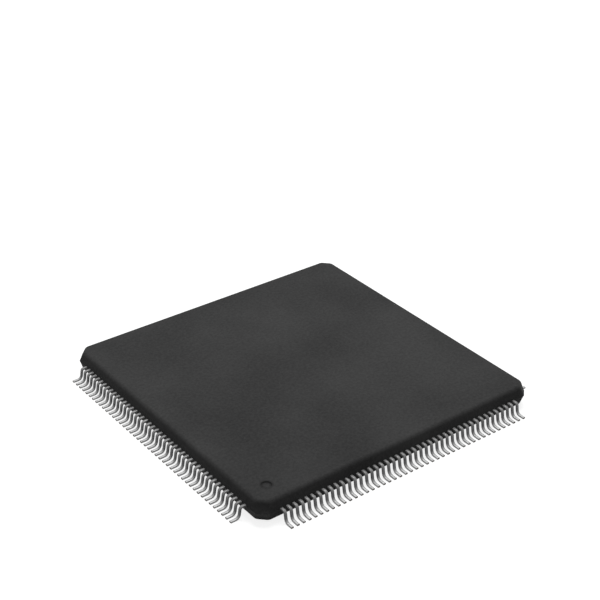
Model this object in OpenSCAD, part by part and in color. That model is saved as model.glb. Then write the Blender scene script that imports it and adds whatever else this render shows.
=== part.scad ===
// Quad flat package: a moulded square body with a row of gull-wing leads along each side.
// Inside are the die on its paddle and a bond wire from the die to every lead.
// The origin is on the seating plane under the body's centre, with +Z up.
// The front side faces -Y, and the leads are counted anticlockwise from its -X end.

/* [Body] */
// Length of each side of the body at the parting line
body_w = 20; // [19.8:0.1:20.2]
// Thickness of the body
body_t = 1.35; // [1.3:0.05:1.45]
// Clearance between the seating plane and the body's underside
standoff = 0.07; // [0.05:0.01:0.15]
// Height of the parting line, and of the middle of the lead frame, above the underside
parting_h = 0.66; // [0.64:0.01:0.7]
// Lean of the four side walls from the vertical, in degrees
wall_draft = 12; // [8:1:14]
// Lean of the four corner walls from the vertical, in degrees
corner_draft = 22; // [16:1:24]
// Length that each corner wall takes off a side
corner_cut = 0.5; // [0.4:0.05:0.6]
// Radius of the edge between a wall and the top or bottom face
edge_r = 0.28; // [0.15:0.01:0.3]
// Diameter at the top of the round recess that marks the first lead
mark_d = 0.64; // [0.5:0.02:0.9]
// Depth of that recess
mark_depth = 0.08; // [0.04:0.01:0.1]
// How much wider the recess is at its rim than at its floor
mark_taper = 0.1; // [0.02:0.02:0.2]
// Distance from the recess's centre to the two nearest sides
mark_inset = 1.45; // [1.2:0.05:2]

/* [Leads] */
// Number of leads on each side
leads_per_side = 44; // [24:4:44]
// Distance from one lead to the next
lead_pitch = 0.4; // [0.38:0.01:0.4]
// Width of a lead
lead_w = 0.17; // [0.13:0.01:0.2]
// Thickness of the lead frame
frame_t = 0.1; // [0.09:0.005:0.125]
// Distance between the tips of opposite leads
tip_span = 22; // [21.8:0.1:22.4]
// Length of a foot, from its tip to the leg at the gauge height
foot_l = 0.545; // [0.5:0.005:0.7]
// Lean of the legs from the vertical, in degrees
leg_lean = 9; // [2:1:10]
// Radius inside the bend at the shoulder
shoulder_r = 0.09; // [0.08:0.01:0.12]
// Radius inside the bend at the heel
heel_r = 0.2; // [0.12:0.01:0.24]

/* [Inside] */
// Distance from one finger to the next at the inner ends of the leads
finger_pitch = 0.21; // [0.2:0.005:0.21]
// Width of a finger at its inner end
finger_w = 0.12; // [0.1:0.01:0.13]
// Distance from the centre to the inner ends of the fingers
finger_reach = 5.2; // [5:0.1:5.6]
// Length of lead inside the body that stays straight before its finger
finger_root = 1; // [0.8:0.1:1.2]
// Length of each side of the die paddle
paddle_w = 8; // [7.6:0.1:8.4]
// Drop from the lead frame to the paddle
paddle_drop = 0.25; // [0.2:0.01:0.3]
// Width of the bars that tie the paddle's corners to the frame
tie_w = 0.25; // [0.2:0.05:0.3]
// Flat stretch of a tie bar between the paddle's corner and its step
tie_flat = 0.3; // [0.2:0.05:0.4]
// Compound between a tie bar's end and the corner wall
tie_cover = 0.12; // [0.1:0.01:0.2]
// Length of each side of the die
die_w = 6.4; // [6:0.1:6.8]
// Thickness of the die
die_t = 0.28; // [0.25:0.01:0.3]
// Thickness of the film that bonds the die to the paddle
film_t = 0.025; // [0.02:0.005:0.03]
// Distance from the die's edge to the film's edge
film_inset = 0.05; // [0:0.01:0.1]
// Distance from the die's edge to the row of bond pads
pad_inset = 0.1; // [0.08:0.01:0.12]
// Width and thickness of a bond wire
wire_t = 0.03; // [0.025:0.005:0.03]
// Height of the wire loops above the die
loop_h = 0.2; // [0.15:0.01:0.25]
// Place of a wire's highest point, as a share of the wire's length
loop_crest = 0.3; // [0.2:0.05:0.4]
// Distance from one bond pad to the next on the die
pad_pitch = 0.14; // [0.13:0.002:0.14]
// Length of the flat foot of a wire on its pad
ball_w = 0.06; // [0.05:0.005:0.06]
// Height of that foot
ball_h = 0.015; // [0.01:0.005:0.02]
// Length of the flat end of a wire on its finger
stitch_l = 0.08; // [0.06:0.01:0.1]
// Distance from the finger's tip to the wire's end
stitch_inset = 0.14; // [0.1:0.01:0.2]

/* [Hidden] */
SIDES = ["front", "right", "back", "left"];
GROUPS = [1, 2, 3, 4];
function lead_node(s, g) = str("leads_", SIDES[s], "_", g);
function wire_node(s) = str("bond_wires_", SIDES[s]);

$fn = 64;
edge_facets = 8;                        // faces along the rounded edges of the body
eps = 0.5;                              // spare length on cutting shapes
gauge_h = 0.25;                         // height at which a foot's length is measured
body_z = standoff;
top_z = standoff + body_t;
parting_z = standoff + parting_h;
frame_z = parting_z - frame_t / 2;      // underside of the lead frame
tip_v = tip_span / 2;
finger_bend_v = body_w / 2 - finger_root;  // the fingers start to converge here
group_size = leads_per_side / len(GROUPS);
corner_w = (2 * body_w - 2 * corner_cut) / sqrt(2);  // across two opposite corner walls
film_w = die_w - 2 * film_inset;
paddle_z = frame_z - paddle_drop;
film_z = paddle_z + frame_t;
die_z = film_z + film_t;
die_top_z = die_z + die_t;
pad_v = die_w / 2 - pad_inset;
stitch_v = finger_reach + stitch_inset;

// Place of lead or wire i along its row, for a given pitch
function row_u(i, pitch) = (i - (leads_per_side - 1) / 2) * pitch;
function polar(r, a) = [r * cos(a), r * sin(a)];

// ---- body ----

// Quarter of the body's section, from the parting line up to the flat face:
// w is the half width at the parting line, and h the height to the flat face
function section_quarter(w, h, draft) =
    let (
        n = polar(1, draft),            // outward normal of the wall
        c = [w - (edge_r + (h - edge_r) * n.y) / n.x, h - edge_r]
    )
    [
        [w, 0],
        for (k = [0:edge_facets]) c + polar(edge_r, draft + (90 - draft) * k / edge_facets)
    ];

// The same points in the opposite order, with x and y scaled by m
function flipped(points, m) =
    [for (k = [len(points) - 1:-1:0]) [points[k].x * m.x, points[k].y * m.y]];

// Section of the body across two opposite walls, w apart at the parting line
module body_section(w, draft) {
    upper = section_quarter(w / 2, top_z - parting_z, draft);
    lower = flipped(section_quarter(w / 2, parting_z - body_z, draft), [1, -1]);
    right = concat(lower, [for (k = [1:len(upper) - 1]) upper[k]]);
    translate([0, parting_z]) polygon(concat(right, flipped(right, [-1, 1])));
}

module body_prism(w, draft, turn) {
    rotate([90, 0, turn])
        linear_extrude(2 * body_w, center = true)
            body_section(w, draft);
}

module moulded_body() {
    color([0.14, 0.14, 0.15])
        difference() {
            intersection() {
                body_prism(body_w, wall_draft, 0);
                body_prism(body_w, wall_draft, 90);
                body_prism(corner_w, corner_draft, 45);
                body_prism(corner_w, corner_draft, -45);
            }
            translate([mark_inset - body_w / 2, mark_inset - body_w / 2, top_z - mark_depth])
                cylinder(
                    d1 = mark_d - mark_taper, d2 = mark_d + mark_taper * eps / mark_depth,
                    h = mark_depth + eps
                );
            paddle_form();
            film_form();
            die_form();
            for (s = [0:3]) {
                fingers(s);
                wires(s);
            }
        }
}

// ---- leads ----

// Outline of lead i of the front row, seen from above
module lead_outline(i, tip) {
    u = row_u(i, lead_pitch);
    f = row_u(i, finger_pitch);
    polygon([
        [u - lead_w / 2, -tip], [u + lead_w / 2, -tip], [u + lead_w / 2, -finger_bend_v],
        [f + finger_w / 2, -finger_reach], [f - finger_w / 2, -finger_reach],
        [u - lead_w / 2, -finger_bend_v]
    ]);
}

// A bend of inner radius r about the origin and the flat stretch that it leads to.
// The x axis points along the leg's outward normal, and the leg continues below it.
module bend_and_flat(r, flat_l) {
    quadrant = 2 * (r + frame_t);
    intersection() {
        difference() {
            circle(r + frame_t);
            circle(r);
        }
        square(quadrant);
        rotate(-leg_lean) square(quadrant);
    }
    rotate(-leg_lean)
        translate([-flat_l, r]) square([flat_l, frame_t]);
}

// Section of the formed strip: shoulder, bend, leg, heel and foot; x runs outwards, y up
module gull_wing_section() {
    n = polar(1, leg_lean);             // outward normal of the leg
    outer_r = shoulder_r + frame_t;
    bend_z = frame_z + frame_t - outer_r;
    bend_v = tip_v - foot_l - (outer_r + (bend_z - gauge_h) * n.y) / n.x;
    leg_l = (bend_z - frame_t - heel_r + (outer_r + heel_r) * n.y) / n.x;
    heel_v = bend_v + (outer_r + heel_r) * n.x + leg_l * n.y;
    translate([bend_v, bend_z])
        rotate(leg_lean) {
            bend_and_flat(shoulder_r, bend_v - finger_reach + eps);
            translate([shoulder_r, -leg_l]) square([frame_t, leg_l]);
            translate([outer_r + heel_r, -leg_l])
                rotate(180) bend_and_flat(heel_r, tip_v - heel_v);
        }
}

// Leads first to last of side s: the formed strip, stamped to the leads' outlines
module leads(s, first, last) {
    rotate([0, 0, 90 * s])
        intersection() {
            rotate([90, 0, -90])
                linear_extrude(body_w, center = true)
                    gull_wing_section();
            translate([0, 0, -eps])
                linear_extrude(parting_z + 2 * eps)
                    for (i = [first:last]) lead_outline(i, tip_v + eps);
        }
}

module lead_group(s, g) {
    color([0.76, 0.77, 0.78])
        leads(s, (g - 1) * group_size, g * group_size - 1);
}

// The part of side s's leads that the body holds
module fingers(s) {
    rotate([0, 0, 90 * s])
        translate([0, 0, frame_z])
            linear_extrude(frame_t)
                for (i = [0:leads_per_side - 1]) lead_outline(i, body_w / 2 + eps / 2);
}

// ---- paddle, film and die ----

module square_plate(w, z, t) {
    translate([-w / 2, -w / 2, z]) cube([w, w, t]);
}

// Side view of a tie bar: flat in the paddle, up a step at 45 degrees, and flat in the frame
module tie_section() {
    start = paddle_w / 2;
    step = paddle_w / 2 * sqrt(2) + tie_flat;
    end = corner_w / 2 - tie_cover;
    bend = frame_t * tan(22.5);
    polygon([
        [start, paddle_z], [step, paddle_z], [step + paddle_drop, frame_z], [end, frame_z],
        [end, frame_z + frame_t], [step + paddle_drop - bend, frame_z + frame_t],
        [step - bend, paddle_z + frame_t], [start, paddle_z + frame_t]
    ]);
}

module paddle_form() {
    square_plate(paddle_w, paddle_z, frame_t);
    for (a = [45:90:315])
        rotate([90, 0, a])
            linear_extrude(tie_w, center = true)
                tie_section();
}

module film_form() {
    square_plate(film_w, film_z, film_t);
}

module die_form() {
    square_plate(die_w, die_z, die_t);
}

module die_paddle() {
    color([0.72, 0.45, 0.3]) paddle_form();
}

module die_attach_film() {
    color([0.6, 0.6, 0.58]) film_form();
}

module silicon_die() {
    color([0.35, 0.38, 0.45]) die_form();
}

// ---- bond wires ----

// Side view of a wire l long: foot on the pad, riser, loop and stitch on the finger
module wire_section(l) {
    h = die_top_z + loop_h;
    e = frame_z + frame_t;
    crest = l * loop_crest;
    polygon([
        [-ball_w / 2, die_top_z], [ball_w / 2, die_top_z], [ball_w / 2, die_top_z + ball_h],
        [wire_t / 2, die_top_z + ball_h], [wire_t / 2, h - wire_t], [crest, h - wire_t],
        [l - stitch_l, e], [l, e], [l, e + wire_t / 2], [l - stitch_l, e + wire_t],
        [crest, h], [-wire_t / 2, h], [-wire_t / 2, die_top_z + ball_h],
        [-ball_w / 2, die_top_z + ball_h]
    ]);
}

module wires(s) {
    along = (stitch_v - finger_reach) / (finger_bend_v - finger_reach);
    rotate([0, 0, 90 * s])
        for (i = [0:leads_per_side - 1]) {
            f = row_u(i, finger_pitch);
            pad = [row_u(i, pad_pitch), -pad_v];
            end = [f + (row_u(i, lead_pitch) - f) * along, -stitch_v];
            run = end - pad;
            translate(pad)
                rotate([90, 0, atan2(run.y, run.x)])
                    linear_extrude(wire_t, center = true)
                        wire_section(norm(run));
        }
}

module bond_wires(s) {
    color([0.85, 0.68, 0.25]) wires(s);
}

moulded_body();
die_paddle();
die_attach_film();
silicon_die();
for (s = [0:3]) {
    for (g = GROUPS)
        lead_group(s, g);
    bond_wires(s);
}
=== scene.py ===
# Quad flat package: the look of the moulded body, its gull-wing leads and what lies inside.
# Metres. The seating plane is z = 0, and the front row of leads faces -Y.
import math
import bmesh
import bpy
from mathutils import Matrix, Vector


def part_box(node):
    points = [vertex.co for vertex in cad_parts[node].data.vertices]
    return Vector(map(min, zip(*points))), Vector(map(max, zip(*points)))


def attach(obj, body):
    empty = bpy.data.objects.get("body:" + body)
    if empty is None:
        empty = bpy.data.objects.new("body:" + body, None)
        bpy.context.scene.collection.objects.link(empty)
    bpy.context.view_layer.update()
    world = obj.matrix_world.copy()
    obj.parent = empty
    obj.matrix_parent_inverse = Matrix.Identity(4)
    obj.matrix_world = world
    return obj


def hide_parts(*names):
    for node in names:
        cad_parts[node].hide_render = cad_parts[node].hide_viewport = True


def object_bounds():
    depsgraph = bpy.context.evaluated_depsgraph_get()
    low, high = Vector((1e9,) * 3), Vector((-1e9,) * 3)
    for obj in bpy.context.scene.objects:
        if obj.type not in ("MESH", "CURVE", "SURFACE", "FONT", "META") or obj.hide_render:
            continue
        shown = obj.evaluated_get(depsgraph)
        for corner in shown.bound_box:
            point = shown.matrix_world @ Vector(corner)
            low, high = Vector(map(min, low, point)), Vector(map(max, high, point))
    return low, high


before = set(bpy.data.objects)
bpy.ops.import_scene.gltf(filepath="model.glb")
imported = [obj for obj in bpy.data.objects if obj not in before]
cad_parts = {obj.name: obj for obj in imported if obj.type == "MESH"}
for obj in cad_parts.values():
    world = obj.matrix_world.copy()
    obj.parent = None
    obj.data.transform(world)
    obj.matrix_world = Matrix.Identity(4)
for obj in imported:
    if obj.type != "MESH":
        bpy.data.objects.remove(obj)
cadLow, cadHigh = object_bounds()
mm = 0.001
sides = ["front", "right", "back", "left"]
leadNodes = [f"leads_{side}_{group}" for side in sides for group in (1, 2, 3, 4)]
wireNodes = [f"bond_wires_{side}" for side in sides]
bodyLow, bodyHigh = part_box("moulded_body")
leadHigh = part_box("leads_front_1")[1]
frameThickness = 0.1 * mm  # of the strip that the leads are stamped from
markInset = 1.45 * mm      # from the recess's centre to the two nearest sides
markPlace = (markInset - bodyHigh.x, markInset - bodyHigh.x, bodyHigh.z)
print("frame loaded")

viewSetup = {
    "place": (-44.515 * mm, -59.512 * mm, 48.731 * mm),
    "turn": -36.875,  # degrees about the upright
    "tilt": 60.141,   # degrees up from straight down
    "roll": 0.056,
    "lens": 86.015,   # millimetres, for the sensor below
    "sensor": 36,
    "clip": (0.001, 10),
}


def addCamera(setup):
    data = bpy.data.cameras.new("camera")
    data.lens = setup["lens"]
    data.sensor_width = setup["sensor"]
    data.clip_start, data.clip_end = setup["clip"]
    camera = bpy.data.objects.new("camera", data)
    bpy.context.scene.collection.objects.link(camera)
    camera.matrix_world = (
        Matrix.Translation(setup["place"])
        @ Matrix.Rotation(math.radians(setup["turn"]), 4, "Z")
        @ Matrix.Rotation(math.radians(setup["tilt"]), 4, "X")
        @ Matrix.Rotation(math.radians(setup["roll"]), 4, "Z")
    )
    bpy.context.scene.camera = camera


addCamera(viewSetup)


# A node whose sockets take values or other nodes' outputs
def addNode(tree, kind, values=None, **settings):
    node = tree.nodes.new(kind)
    for key, value in settings.items():
        setattr(node, key, value)
    for socket, value in (values or {}).items():
        if isinstance(value, bpy.types.NodeSocket):
            tree.links.new(value, node.inputs[socket])
        else:
            node.inputs[socket].default_value = value
    return node


# A material with fixed values on its Principled shader
def newMaterial(name, values):
    material = bpy.data.materials.new(name)
    material.use_nodes = True
    tree = material.node_tree
    shader = tree.nodes["Principled BSDF"]
    for socket, value in values.items():
        shader.inputs[socket].default_value = value
    return material, tree, shader


# Place on the piece, in millimetres
def placeOnPiece(tree):
    place = addNode(tree, "ShaderNodeTexCoord").outputs["Object"]
    place = addNode(tree, "ShaderNodeMapping", {"Vector": place, "Scale": (1 / mm,) * 3})
    return place.outputs["Vector"]


# Noise from 0 to 1, most of it between 0.3 and 0.7
def noise(tree, place, scale, detail=2.0, roughness=0.5):
    node = addNode(
        tree, "ShaderNodeTexNoise",
        {"Vector": place, "Scale": scale, "Detail": detail, "Roughness": roughness},
    )
    return node.outputs["Fac"]


def mapRange(tree, value, low, high, newLow, newHigh):
    node = addNode(
        tree, "ShaderNodeMapRange",
        {"Value": value, "From Min": low, "From Max": high, "To Min": newLow, "To Max": newHigh},
    )
    return node.outputs["Result"]


def calc(tree, operation, first, second=None):
    values = {0: first} if second is None else {0: first, 1: second}
    return addNode(tree, "ShaderNodeMath", values, operation=operation).outputs[0]


def mixColour(tree, factor, first, second):
    node = addNode(tree, "ShaderNodeMix", {0: factor, 6: first, 7: second}, data_type="RGBA")
    return node.outputs[2]


def bump(tree, shader, height, distance, strength):
    node = addNode(
        tree, "ShaderNodeBump", {"Height": height, "Distance": distance, "Strength": strength})
    tree.links.new(node.outputs["Normal"], shader.inputs["Normal"])


compoundLook = {
    "dark": (0.0218, 0.0218, 0.022, 1),
    "light": (0.0465, 0.0465, 0.0465, 1),
    "speck": (0.055, 0.055, 0.054, 1),
    "cloud": 0.2,            # soft patches per millimetre
    "salt": 5.5,             # fine mottling per millimetre
    "saltShare": 0.4,        # of the way from dark to light
    "fleck": 9,              # pale flecks per millimetre
    "fleckLevels": (0.66, 0.74),  # of the noise, where a fleck begins and is full
    "fleckShow": 0.25,       # how pale a full fleck is
    "grain": 17,             # grains per millimetre
    "grainDepth": 0.006 * mm,
    "grainStrength": 0.5,
    "roughness": (0.56, 0.64),
    "roughGrain": 0.05,      # how far a grain changes the roughness
    "specular": 0.03,
    "markPaintedShade": 0.3,        # painted shade: how much darker the compound is made around the recess's wall
    "markPaintedShadeFade": (0.12, 0.24, 0.36, 0.44),  # mm from the recess's centre, where that painted shade comes and goes
}


def mouldCompound(look, recess):
    material, tree, shader = newMaterial(
        "mouldCompound", {"Specular IOR Level": look["specular"], "IOR": 1.5})
    place = placeOnPiece(tree)
    cloud = noise(tree, place, look["cloud"], detail=2, roughness=0.45)
    salt = noise(tree, place, look["salt"], detail=3, roughness=0.7)
    shade = calc(
        tree, "ADD", mapRange(tree, cloud, 0.3, 0.7, 0, 1 - look["saltShare"]),
        mapRange(tree, salt, 0.35, 0.65, 0, look["saltShare"]))
    colour = mixColour(tree, shade, look["dark"], look["light"])
    fleck = noise(tree, place, look["fleck"], detail=1)
    fleck = mapRange(tree, fleck, *look["fleckLevels"], 0, look["fleckShow"])
    colour = mixColour(tree, fleck, colour, look["speck"])
    away = addNode(
        tree, "ShaderNodeVectorMath", operation="DISTANCE",
        values={0: place, 1: Vector(recess) / mm}).outputs["Value"]
    paintedShadeFade = look["markPaintedShadeFade"]
    # painted shade: the compound is made darker in a ring around the recess's wall and the edge of its
    # floor, where shade falls
    ring = calc(
        tree, "MULTIPLY", mapRange(tree, away, paintedShadeFade[0], paintedShadeFade[1], 0, 1),
        mapRange(tree, away, paintedShadeFade[2], paintedShadeFade[3], look["markPaintedShade"], 0))
    colour = mixColour(tree, ring, colour, (0, 0, 0, 1))
    tree.links.new(colour, shader.inputs["Base Color"])
    grain = noise(tree, place, look["grain"], detail=3, roughness=0.6)
    rough = calc(
        tree, "ADD", mapRange(tree, cloud, 0.3, 0.7, *look["roughness"]),
        mapRange(tree, grain, 0.3, 0.7, -look["roughGrain"], look["roughGrain"]))
    tree.links.new(rough, shader.inputs["Roughness"])
    bump(tree, shader, grain, look["grainDepth"], look["grainStrength"])
    return material


tinLook = {
    "flat": (0.27, 0.27, 0.27, 1),      # shoulders: painted light, a tone set for how light falls on them
    # painted shade: the legs darker than the feet and shoulders because of how light falls on them
    "leg": (0.21, 0.21, 0.213, 1),
    "foot": (0.51, 0.51, 0.51, 1),      # painted light: the feet lighter than the legs because of how light falls on them
    "cut": (0.15, 0.13, 0.115, 1),      # the ends, bare since the leads were trimmed
    "footTop": 0.12,                    # heights in mm, where one painted tone of light and shade gives way to the next
    "legStart": 0.3,
    "legEnd": 0.56,
    "shoulderStart": 0.66,
    "cutDepth": 0.002,                  # mm from the tip
    "cutRoughness": 0.2,                # added to that of the plating
    "cloud": 1.7,                       # patches per millimetre
    "patchy": 0.18,                     # how much darker the plating is in them
    "crystal": 30,                      # grains of the plating per millimetre
    "crystalDepth": 0.003 * mm,
    "crystalStrength": 0.35,
    "roughness": (0.34, 0.44),
    "roughCrystal": 0.05,
    "metallic": 0.1,
    "specular": 0.1,
}


def tinPlate(look, tip):
    material, tree, shader = newMaterial(
        "tinPlate", {"Metallic": look["metallic"], "Specular IOR Level": look["specular"]})
    place = placeOnPiece(tree)
    cloud = noise(tree, place, look["cloud"], detail=3, roughness=0.6)
    spot = addNode(tree, "ShaderNodeSeparateXYZ", {0: place}).outputs
    # painted light and shade by height: lighter feet, darker legs, shoulders between
    leg = mapRange(tree, spot["Z"], look["footTop"], look["legStart"], 0, 1)
    colour = mixColour(tree, leg, look["foot"], look["leg"])
    # the shoulders get their own painted tone of light
    shoulder = mapRange(tree, spot["Z"], look["legEnd"], look["shoulderStart"], 0, 1)
    colour = mixColour(tree, shoulder, colour, look["flat"])
    patch = mapRange(tree, cloud, 0.35, 0.65, 0, look["patchy"])
    colour = mixColour(tree, patch, colour, (0, 0, 0, 1))
    reach = calc(
        tree, "MAXIMUM", calc(tree, "ABSOLUTE", spot["X"]), calc(tree, "ABSOLUTE", spot["Y"]))
    cut = calc(tree, "GREATER_THAN", reach, tip / mm - look["cutDepth"])
    tree.links.new(mixColour(tree, cut, colour, look["cut"]), shader.inputs["Base Color"])
    crystal = noise(tree, place, look["crystal"], detail=2, roughness=0.6)
    rough = calc(
        tree, "ADD", mapRange(tree, cloud, 0.3, 0.7, *look["roughness"]),
        mapRange(tree, crystal, 0.3, 0.7, -look["roughCrystal"], look["roughCrystal"]))
    rough = calc(tree, "ADD", rough, calc(tree, "MULTIPLY", cut, look["cutRoughness"]))
    tree.links.new(rough, shader.inputs["Roughness"])
    bump(tree, shader, crystal, look["crystalDepth"], look["crystalStrength"])
    return material


# Metals and films that the compound hides: two tones in soft patches, and fine grain
innerLooks = {
    "rolledCopper": {
        "nodes": ["die_paddle"],
        "metallic": 1,
        "roughness": 0.35,
        "tones": ((0.68, 0.36, 0.22, 1), (0.6, 0.31, 0.19, 1)),
        "patches": 1.5,  # per millimetre, as the grain is
        "grain": 25,
    },
    "silverFilledFilm": {
        "nodes": ["die_attach_film"],
        "metallic": 0,
        "roughness": 0.6,
        "tones": ((0.55, 0.55, 0.53, 1), (0.48, 0.48, 0.46, 1)),
        "patches": 6,
        "grain": 40,
    },
    "polishedSilicon": {
        "nodes": ["silicon_die"],
        "metallic": 0.6,
        "roughness": 0.2,
        "tones": ((0.16, 0.18, 0.23, 1), (0.2, 0.2, 0.22, 1)),
        "patches": 3,
        "grain": 12,
    },
    "drawnGold": {
        "nodes": wireNodes,
        "metallic": 1,
        "roughness": 0.25,
        "tones": ((0.9, 0.62, 0.22, 1), (0.82, 0.56, 0.2, 1)),
        "patches": 4,
        "grain": 50,
    },
}


def innerMaterial(name, look, grainDepth=0.002 * mm, grainStrength=0.3):
    material, tree, shader = newMaterial(
        name, {"Metallic": look["metallic"], "Roughness": look["roughness"]})
    place = placeOnPiece(tree)
    patches = mapRange(tree, noise(tree, place, look["patches"], detail=3), 0.35, 0.65, 0, 1)
    tree.links.new(mixColour(tree, patches, *look["tones"]), shader.inputs["Base Color"])
    bump(tree, shader, noise(tree, place, look["grain"], detail=2), grainDepth, grainStrength)
    return material


compound = mouldCompound(compoundLook, markPlace)
tin = tinPlate(tinLook, cadHigh.x)
for name, look in innerLooks.items():
    material = innerMaterial(name, look)
    for node in look["nodes"]:
        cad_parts[node].data.materials.clear()
        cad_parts[node].data.materials.append(material)
print("materials made")

bodyForm = {
    "halfWidth": bodyHigh.x,   # at the parting line
    "underside": bodyLow.z,
    "top": bodyHigh.z,
    "parting": leadHigh.z - frameThickness / 2,
    "wallDraft": 12,           # degrees from the upright
    "cornerDraft": 22,
    "cornerCut": 0.5 * mm,
    "edgeRadius": 0.28 * mm,
    "cornerRadius": 0.3 * mm,  # of the upright edges between side walls and corner walls
    "flash": 0.008 * mm,       # thin line of compound that stands proud along the parting line
    "flashRoot": 1.6,          # half height of its root, as a share of how far it stands out
    "markPlace": markPlace,
    "markRim": 0.32 * mm,
    "markFloor": 0.27 * mm,
    "markDepth": 0.08 * mm,
    "markSoft": 0.038 * mm,    # radius at its rim and its floor
    "shelf": 0.05 * mm,        # flat margin inside the rounded edges
    "arcSteps": 10,
    "cornerSteps": 5,
    "markSteps": 40,
    "markSoftSteps": 3,
}


# How far out a wall is at a height from the parting line, where it is lineReach out
def wallReach(lineReach, height, topHeight, draft, radius):
    lean = math.radians(draft)
    arcHeight = topHeight - radius
    arcReach = lineReach - (radius + arcHeight * math.sin(lean)) / math.cos(lean)
    if height <= arcHeight + radius * math.sin(lean):
        return lineReach - height * math.tan(lean)
    return arcReach + math.sqrt(max(0, radius ** 2 - (height - arcHeight) ** 2))


# Outline of the body at one height: a square with cut and softened corners
def bodyOutline(wall, corner, radius, steps):
    points = []
    centreSum = corner * math.sqrt(2) - radius * (math.sqrt(2) - 1)  # x + y at the arcs' centres
    arcs = (((wall - radius, centreSum - wall), 0), ((centreSum - wall, wall - radius), 45))
    for quarter in range(4):
        for centre, start in arcs:
            for k in range(steps + 1):
                angle = math.radians(start + 45 * k / steps)
                point = Vector((centre[0] + radius * math.cos(angle), centre[1] + radius * math.sin(angle)))
                points.append(Matrix.Rotation(math.radians(90 * quarter), 2) @ point)
    return points


def addRing(mesh, points, z):
    return [mesh.verts.new((p[0], p[1], z)) for p in points]


def bridge(mesh, lower, upper):
    for i in range(len(lower)):
        j = (i + 1) % len(lower)
        mesh.faces.new((lower[i], lower[j], upper[j], upper[i]))


def ringEdges(mesh, ring):
    return [mesh.edges.get((v, ring[(i + 1) % len(ring)])) or
            mesh.edges.new((v, ring[(i + 1) % len(ring)])) for i, v in enumerate(ring)]


# Side view of the recess from its softened rim to its floor: reach from the centre, and height
def markPath(form):
    soft, depth, steps = form["markSoft"], form["markDepth"], form["markSoftSteps"]
    turn = math.pi / 2 - math.atan2(form["markRim"] - form["markFloor"], depth)
    tangent = soft * math.tan(turn / 2)
    angles = [turn * k / steps for k in range(steps + 1)]
    arc = [(soft * math.sin(angle), soft * (1 - math.cos(angle))) for angle in angles]
    rim = [(form["markRim"] + tangent - across, -down) for across, down in arc]
    floor = [(form["markFloor"] - tangent + across, down - depth) for across, down in reversed(arc)]
    margin = form["shelf"] / 2
    return [(rim[0][0] + margin, 0)] + rim + floor + [(floor[-1][0] - margin, -depth)]


def circlePoints(centre, radius, steps):
    angles = [2 * math.pi * k / steps for k in range(steps)]
    return [(centre[0] + radius * math.cos(a), centre[1] + radius * math.sin(a)) for a in angles]


def buildBody(form, material):
    mesh = bmesh.new()
    cornerReach = (2 * form["halfWidth"] - form["cornerCut"]) / math.sqrt(2)
    radius = form["edgeRadius"]

    # ring round the body at a height above or below the parting line, in a half that is topHeight high
    def bodyRing(height, topHeight, grow):
        wall = wallReach(form["halfWidth"], abs(height), topHeight, form["wallDraft"], radius)
        corner = wallReach(cornerReach, abs(height), topHeight, form["cornerDraft"], radius)
        outline = bodyOutline(wall + grow, corner + grow, form["cornerRadius"], form["cornerSteps"])
        return addRing(mesh, outline, form["parting"] + height)

    def arcHeights(topHeight):
        first, steps = form["wallDraft"], form["arcSteps"]
        angles = [math.radians(first + (90 - first) * k / steps) for k in range(steps + 1)]
        return [topHeight - radius + radius * math.sin(angle) for angle in angles]

    above = form["top"] - form["parting"]
    below = form["parting"] - form["underside"]
    line = form["flash"]
    root = form["flashRoot"] * line
    rings = [bodyRing(-height, below, 0) for height in reversed(arcHeights(below))]
    rings += [bodyRing(-root, below, 0), bodyRing(-line, below, line)]
    rings += [bodyRing(line, above, line), bodyRing(root, above, 0)]
    rings += [bodyRing(height, above, 0) for height in arcHeights(above)]
    for lower, upper in zip(rings, rings[1:]):
        bridge(mesh, lower, upper)

    floorRing = bodyRing(-below, below, -form["shelf"])
    bridge(mesh, floorRing, rings[0])
    mesh.faces.new(list(reversed(floorRing)))
    roofRing = bodyRing(above, above, -form["shelf"])
    bridge(mesh, rings[-1], roofRing)

    # round recess by the first lead
    markRings = [addRing(mesh, circlePoints(form["markPlace"], reach, form["markSteps"]), form["top"] + z)
                 for reach, z in markPath(form)]
    for outer, inner in zip(markRings, markRings[1:]):
        bridge(mesh, outer, inner)
    mesh.faces.new(markRings[-1])
    bmesh.ops.triangle_fill(
        mesh, use_beauty=True, normal=(0, 0, 1),
        edges=ringEdges(mesh, roofRing) + ringEdges(mesh, markRings[0]))
    bmesh.ops.recalc_face_normals(mesh, faces=mesh.faces)
    return finishMesh("mouldedBody", mesh, material)


def finishMesh(name, mesh, material):
    data = bpy.data.meshes.new(name)
    mesh.to_mesh(data)
    mesh.free()
    data.materials.append(material)
    data.polygons.foreach_set("use_smooth", [True] * len(data.polygons))
    piece = bpy.data.objects.new(name, data)
    bpy.context.scene.collection.objects.link(piece)
    weightNormals(piece)
    return piece


# Keeps flat faces evenly lit beside rounded edges
def weightNormals(piece, faceWeight=60):
    modifier = piece.modifiers.new("flatFaces", "WEIGHTED_NORMAL")
    modifier.keep_sharp = True
    modifier.weight = faceWeight


body = buildBody(bodyForm, compound)
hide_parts("moulded_body")
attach(body, "root")
print("body made:", len(body.data.polygons), "faces")

leadForm = {
    "count": 44,                  # on each side
    "pitch": 0.4 * mm,
    "width": 0.17 * mm,
    "thickness": frameThickness,
    "softEdge": 0.014 * mm,       # rounding of the upper edges
    "sharpTurn": 1.0,             # radians between two faces, past which their edge stays sharp
    "tip": cadHigh.x,
    "top": leadHigh.z,            # of the flat stretch at the shoulder
    "footLength": 0.545 * mm,     # from the tip to the leg at the gauge height
    "gaugeHeight": 0.25 * mm,
    "legLean": 9,                 # degrees from the upright
    "shoulderRadius": 0.09 * mm,  # inside the bend
    "heelRadius": 0.2 * mm,
    "heelSteps": 3,
    "fingerStart": 9 * mm,        # from the centre
    "fingerEnd": -leadHigh.y,
    "fingerPitch": 0.21 * mm,
    "fingerWidth": 0.12 * mm,
}


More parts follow.
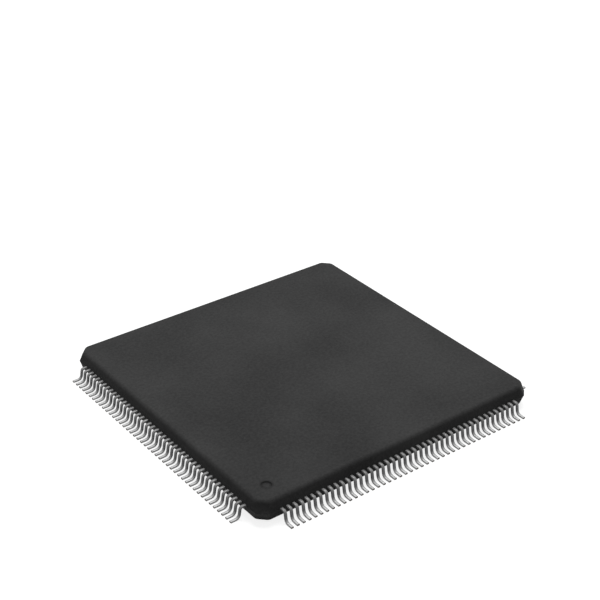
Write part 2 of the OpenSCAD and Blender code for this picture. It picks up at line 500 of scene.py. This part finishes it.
# Named inputs of the tree: sizes, and the corners of the line down the middle of a lead
def leadInputs(form):
    half = form["thickness"] / 2
    across, up = math.cos(math.radians(form["legLean"])), math.sin(math.radians(form["legLean"]))
    legLine = (form["tip"] - form["footLength"]) * across + form["gaugeHeight"] * up - half

    def corner(z):
        return (0.0, -(legLine - z * up) / across, z)

    return {
        "count": form["count"],
        "pitch": form["pitch"],
        "width": form["width"],
        "thickness": form["thickness"],
        "soft edge": form["softEdge"],
        "sharp turn": form["sharpTurn"],
        "finger end": (0.0, -form["fingerEnd"], form["top"] - half),
        "finger start": (0.0, -form["fingerStart"], form["top"] - half),
        "shoulder corner": corner(form["top"] - half),
        "heel corner": corner(half),
        "tip": (0.0, -form["tip"], half),
        "shoulder radius": form["shoulderRadius"] + half,
        "heel radius": form["heelRadius"] + half,
        "bend steps": form["heelSteps"],
        "finger share": form["fingerPitch"] / form["pitch"] - 1,
        "finger narrowing": form["fingerWidth"] / form["width"] - 1,
    }


def leadTree(inputs, material):
    tree = bpy.data.node_groups.new("leadRows", "GeometryNodeTree")
    kinds = {int: "NodeSocketInt", float: "NodeSocketFloat", tuple: "NodeSocketVector"}
    for name, value in inputs.items():
        tree.interface.new_socket(name, in_out="INPUT", socket_type=kinds[type(value)])
    tree.interface.new_socket("Geometry", in_out="OUTPUT", socket_type="NodeSocketGeometry")
    given = addNode(tree, "NodeGroupInput").outputs
    index = addNode(tree, "GeometryNodeInputIndex").outputs[0]

    # line down the middle of one lead, bent at the shoulder and the heel
    corners = ["finger end", "finger start", "shoulder corner", "heel corner", "tip"]
    pick = addNode(tree, "GeometryNodeIndexSwitch", data_type="VECTOR")
    bend = addNode(tree, "GeometryNodeIndexSwitch", data_type="FLOAT")
    for node in (pick, bend):
        while len(node.index_switch_items) < len(corners):
            node.index_switch_items.new()
        tree.links.new(index, node.inputs["Index"])
    for k, name in enumerate(corners):
        tree.links.new(given[name], pick.inputs[k + 1])
    for name in ("shoulder", "heel"):
        tree.links.new(given[name + " radius"], bend.inputs[corners.index(name + " corner") + 1])
    line = addNode(tree, "GeometryNodeMeshLine", {"Count": len(corners)})
    line = addNode(
        tree, "GeometryNodeSetPosition", {"Geometry": line.outputs[0], "Position": pick.outputs[0]})
    line = addNode(tree, "GeometryNodeMeshToCurve", {"Mesh": line.outputs[0]})
    line = addNode(
        tree, "GeometryNodeFilletCurve", mode="POLY",
        values={"Curve": line.outputs[0], "Count": given["bend steps"], "Radius": bend.outputs[0]})
    line = addNode(tree, "GeometryNodeSetCurveNormal", {"Curve": line.outputs[0]}, mode="Z_UP")

    # stamped section, swept along the line; stamping rounds the upper edges and leaves the lower ones sharp
    upper = calc(tree, "GREATER_THAN", index, 1.5)  # 1 at corners 2 and 3 of the section
    section = addNode(
        tree, "GeometryNodeCurvePrimitiveQuadrilateral",
        {"Width": given["width"], "Height": given["thickness"]})
    section = addNode(
        tree, "GeometryNodeFilletCurve", mode="POLY",
        values={"Curve": section.outputs[0], "Count": 1,
                "Radius": calc(tree, "MULTIPLY", upper, given["soft edge"])})
    lead = addNode(
        tree, "GeometryNodeCurveToMesh",
        {"Curve": line.outputs[0], "Profile Curve": section.outputs[0], "Fill Caps": True})
    angle = addNode(tree, "GeometryNodeInputMeshEdgeAngle").outputs["Unsigned Angle"]
    lead = addNode(tree, "GeometryNodeSetShadeSmooth", {"Geometry": lead.outputs[0]}, domain="FACE")
    sharp = addNode(
        tree, "FunctionNodeCompare", {0: angle, 1: given["sharp turn"]}, operation="GREATER_THAN")
    lead = addNode(
        tree, "GeometryNodeSetShadeSmooth", domain="EDGE",
        values={"Geometry": lead.outputs[0], "Selection": sharp.outputs[0], "Shade Smooth": False})

    # one row, each lead knowing its place along it
    step = addNode(tree, "ShaderNodeCombineXYZ", {"X": given["pitch"]}).outputs[0]
    span = calc(tree, "MULTIPLY", calc(tree, "SUBTRACT", given["count"], 1), -0.5)
    start = addNode(tree, "ShaderNodeCombineXYZ", {"X": calc(tree, "MULTIPLY", span, given["pitch"])})
    row = addNode(
        tree, "GeometryNodeMeshLine",
        {"Count": given["count"], "Start Location": start.outputs[0], "Offset": step})
    place = addNode(tree, "GeometryNodeInputPosition").outputs[0]
    along = addNode(tree, "ShaderNodeSeparateXYZ", {0: place})
    row = addNode(
        tree, "GeometryNodeStoreNamedAttribute", data_type="FLOAT",
        values={"Geometry": row.outputs[0], "Name": "rowPlace", "Value": along.outputs["X"]})
    row = addNode(
        tree, "GeometryNodeInstanceOnPoints", {"Points": row.outputs[0], "Instance": lead.outputs[0]})
    row = addNode(tree, "GeometryNodeRealizeInstances", {"Geometry": row.outputs[0]})

    # inside the body the leads converge on the die and get narrower
    rowPlace = addNode(
        tree, "GeometryNodeInputNamedAttribute", {"Name": "rowPlace"}, data_type="FLOAT").outputs[0]
    inner = addNode(tree, "ShaderNodeSeparateXYZ", {0: given["finger end"]}).outputs["Y"]
    outer = addNode(tree, "ShaderNodeSeparateXYZ", {0: given["finger start"]}).outputs["Y"]
    share = addNode(
        tree, "ShaderNodeMapRange",
        {"Value": along.outputs["Y"], "From Min": outer, "From Max": inner}).outputs["Result"]
    turnIn = calc(tree, "MULTIPLY", rowPlace, given["finger share"])
    fromMiddle = calc(tree, "SUBTRACT", along.outputs["X"], rowPlace)
    narrow = calc(tree, "MULTIPLY", fromMiddle, given["finger narrowing"])
    shift = calc(tree, "MULTIPLY", share, calc(tree, "ADD", turnIn, narrow))
    shift = addNode(tree, "ShaderNodeCombineXYZ", {"X": shift})
    row = addNode(
        tree, "GeometryNodeSetPosition", {"Geometry": row.outputs[0], "Offset": shift.outputs[0]})
    row = addNode(tree, "GeometryNodeRemoveAttribute", {"Geometry": row.outputs[0], "Name": "rowPlace"})

    # the same row on each side
    turn = addNode(tree, "ShaderNodeCombineXYZ", {"Z": calc(tree, "MULTIPLY", index, math.pi / 2)})
    points = addNode(tree, "GeometryNodePoints", {"Count": len(sides), "Position": (0, 0, 0)})
    rows = addNode(
        tree, "GeometryNodeInstanceOnPoints",
        {"Points": points.outputs[0], "Instance": row.outputs[0], "Rotation": turn.outputs[0]})
    rows = addNode(tree, "GeometryNodeRealizeInstances", {"Geometry": rows.outputs[0]})
    rows = addNode(tree, "GeometryNodeSetMaterial", {"Geometry": rows.outputs[0], "Material": material})
    out = addNode(tree, "NodeGroupOutput")
    tree.links.new(rows.outputs[0], out.inputs[0])
    return tree


# The result of a node tree as a plain mesh
def bakeTree(name, tree, inputs):
    piece = bpy.data.objects.new(name, bpy.data.meshes.new(name))
    bpy.context.scene.collection.objects.link(piece)
    modifier = piece.modifiers.new("rows", "NODES")
    modifier.node_group = tree
    for item in tree.interface.items_tree:
        if item.in_out == "INPUT":
            modifier[item.identifier] = inputs[item.name]
    piece.update_tag()
    evaluated = piece.evaluated_get(bpy.context.evaluated_depsgraph_get())
    made = bpy.data.meshes.new_from_object(evaluated)
    piece.modifiers.remove(modifier)
    piece.data = made
    made.name = name
    return piece


inputs = leadInputs(leadForm)
leads = bakeTree("leadRows", leadTree(inputs, tin), inputs)
weightNormals(leads)
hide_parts(*leadNodes)
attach(leads, "root")
print("leads made:", len(leads.data.polygons), "faces,", len(sides) * leadForm["count"], "leads")

stageForm = {
    "floorSize": 0.6,
    "floorDrop": 0.01 * mm,
    "floorColour": 0.3,    # lit part of the floor
    "floorGlow": 0.82,     # what the floor shows besides, to a look or a reflection
    "floorRoughness": 0.9,
    "ambient": 0.38,       # strength of the white surroundings as a light
    "keyPlace": (0.08, 0.095, 0.27),  # of a round softbox, aimed at the origin
    "keySize": 0.2,
    "keyPower": 0.8,       # watts
}


# 1 for what is looked at, straight, mirrored or through a clear piece, and 0 for light on a surface
def seenRay(tree):
    path = addNode(tree, "ShaderNodeLightPath").outputs
    seen = calc(tree, "MAXIMUM", path["Is Camera Ray"], path["Is Glossy Ray"])
    return calc(tree, "MAXIMUM", seen, path["Is Transmission Ray"])


def buildStage(form):
    material, tree, shader = newMaterial("paleFloor", {
        "Base Color": (form["floorColour"],) * 3 + (1,),
        "Roughness": form["floorRoughness"],
        "Specular IOR Level": 0,
        "Emission Color": (1, 1, 1, 1),
    })
    glow = calc(tree, "MULTIPLY", seenRay(tree), form["floorGlow"])
    tree.links.new(glow, shader.inputs["Emission Strength"])
    half = form["floorSize"] / 2
    data = bpy.data.meshes.new("floor")
    corners = [(-half, -half), (half, -half), (half, half), (-half, half)]
    data.from_pydata([(x, y, -form["floorDrop"]) for x, y in corners], [], [(0, 1, 2, 3)])
    data.materials.append(material)
    floor = bpy.data.objects.new("floor", data)
    bpy.context.scene.collection.objects.link(floor)

    world = bpy.data.worlds.new("studio")
    bpy.context.scene.world = world
    world.use_nodes = True
    tree = world.node_tree
    background = tree.nodes["Background"]
    background.inputs["Color"].default_value = (1, 1, 1, 1)
    strength = mapRange(tree, seenRay(tree), 0, 1, form["ambient"], 1)
    tree.links.new(strength, background.inputs["Strength"])

    light = bpy.data.lights.new("overheadSoftbox", "AREA")
    light.shape = "DISK"
    light.size = form["keySize"]
    light.energy = form["keyPower"]
    lamp = bpy.data.objects.new("overheadSoftbox", light)
    bpy.context.scene.collection.objects.link(lamp)
    lamp.location = form["keyPlace"]
    lamp.rotation_euler = Vector(form["keyPlace"]).to_track_quat("Z", "Y").to_euler()


buildStage(stageForm)
bpy.context.scene.view_settings.view_transform = "Standard"
print("stage and light set")
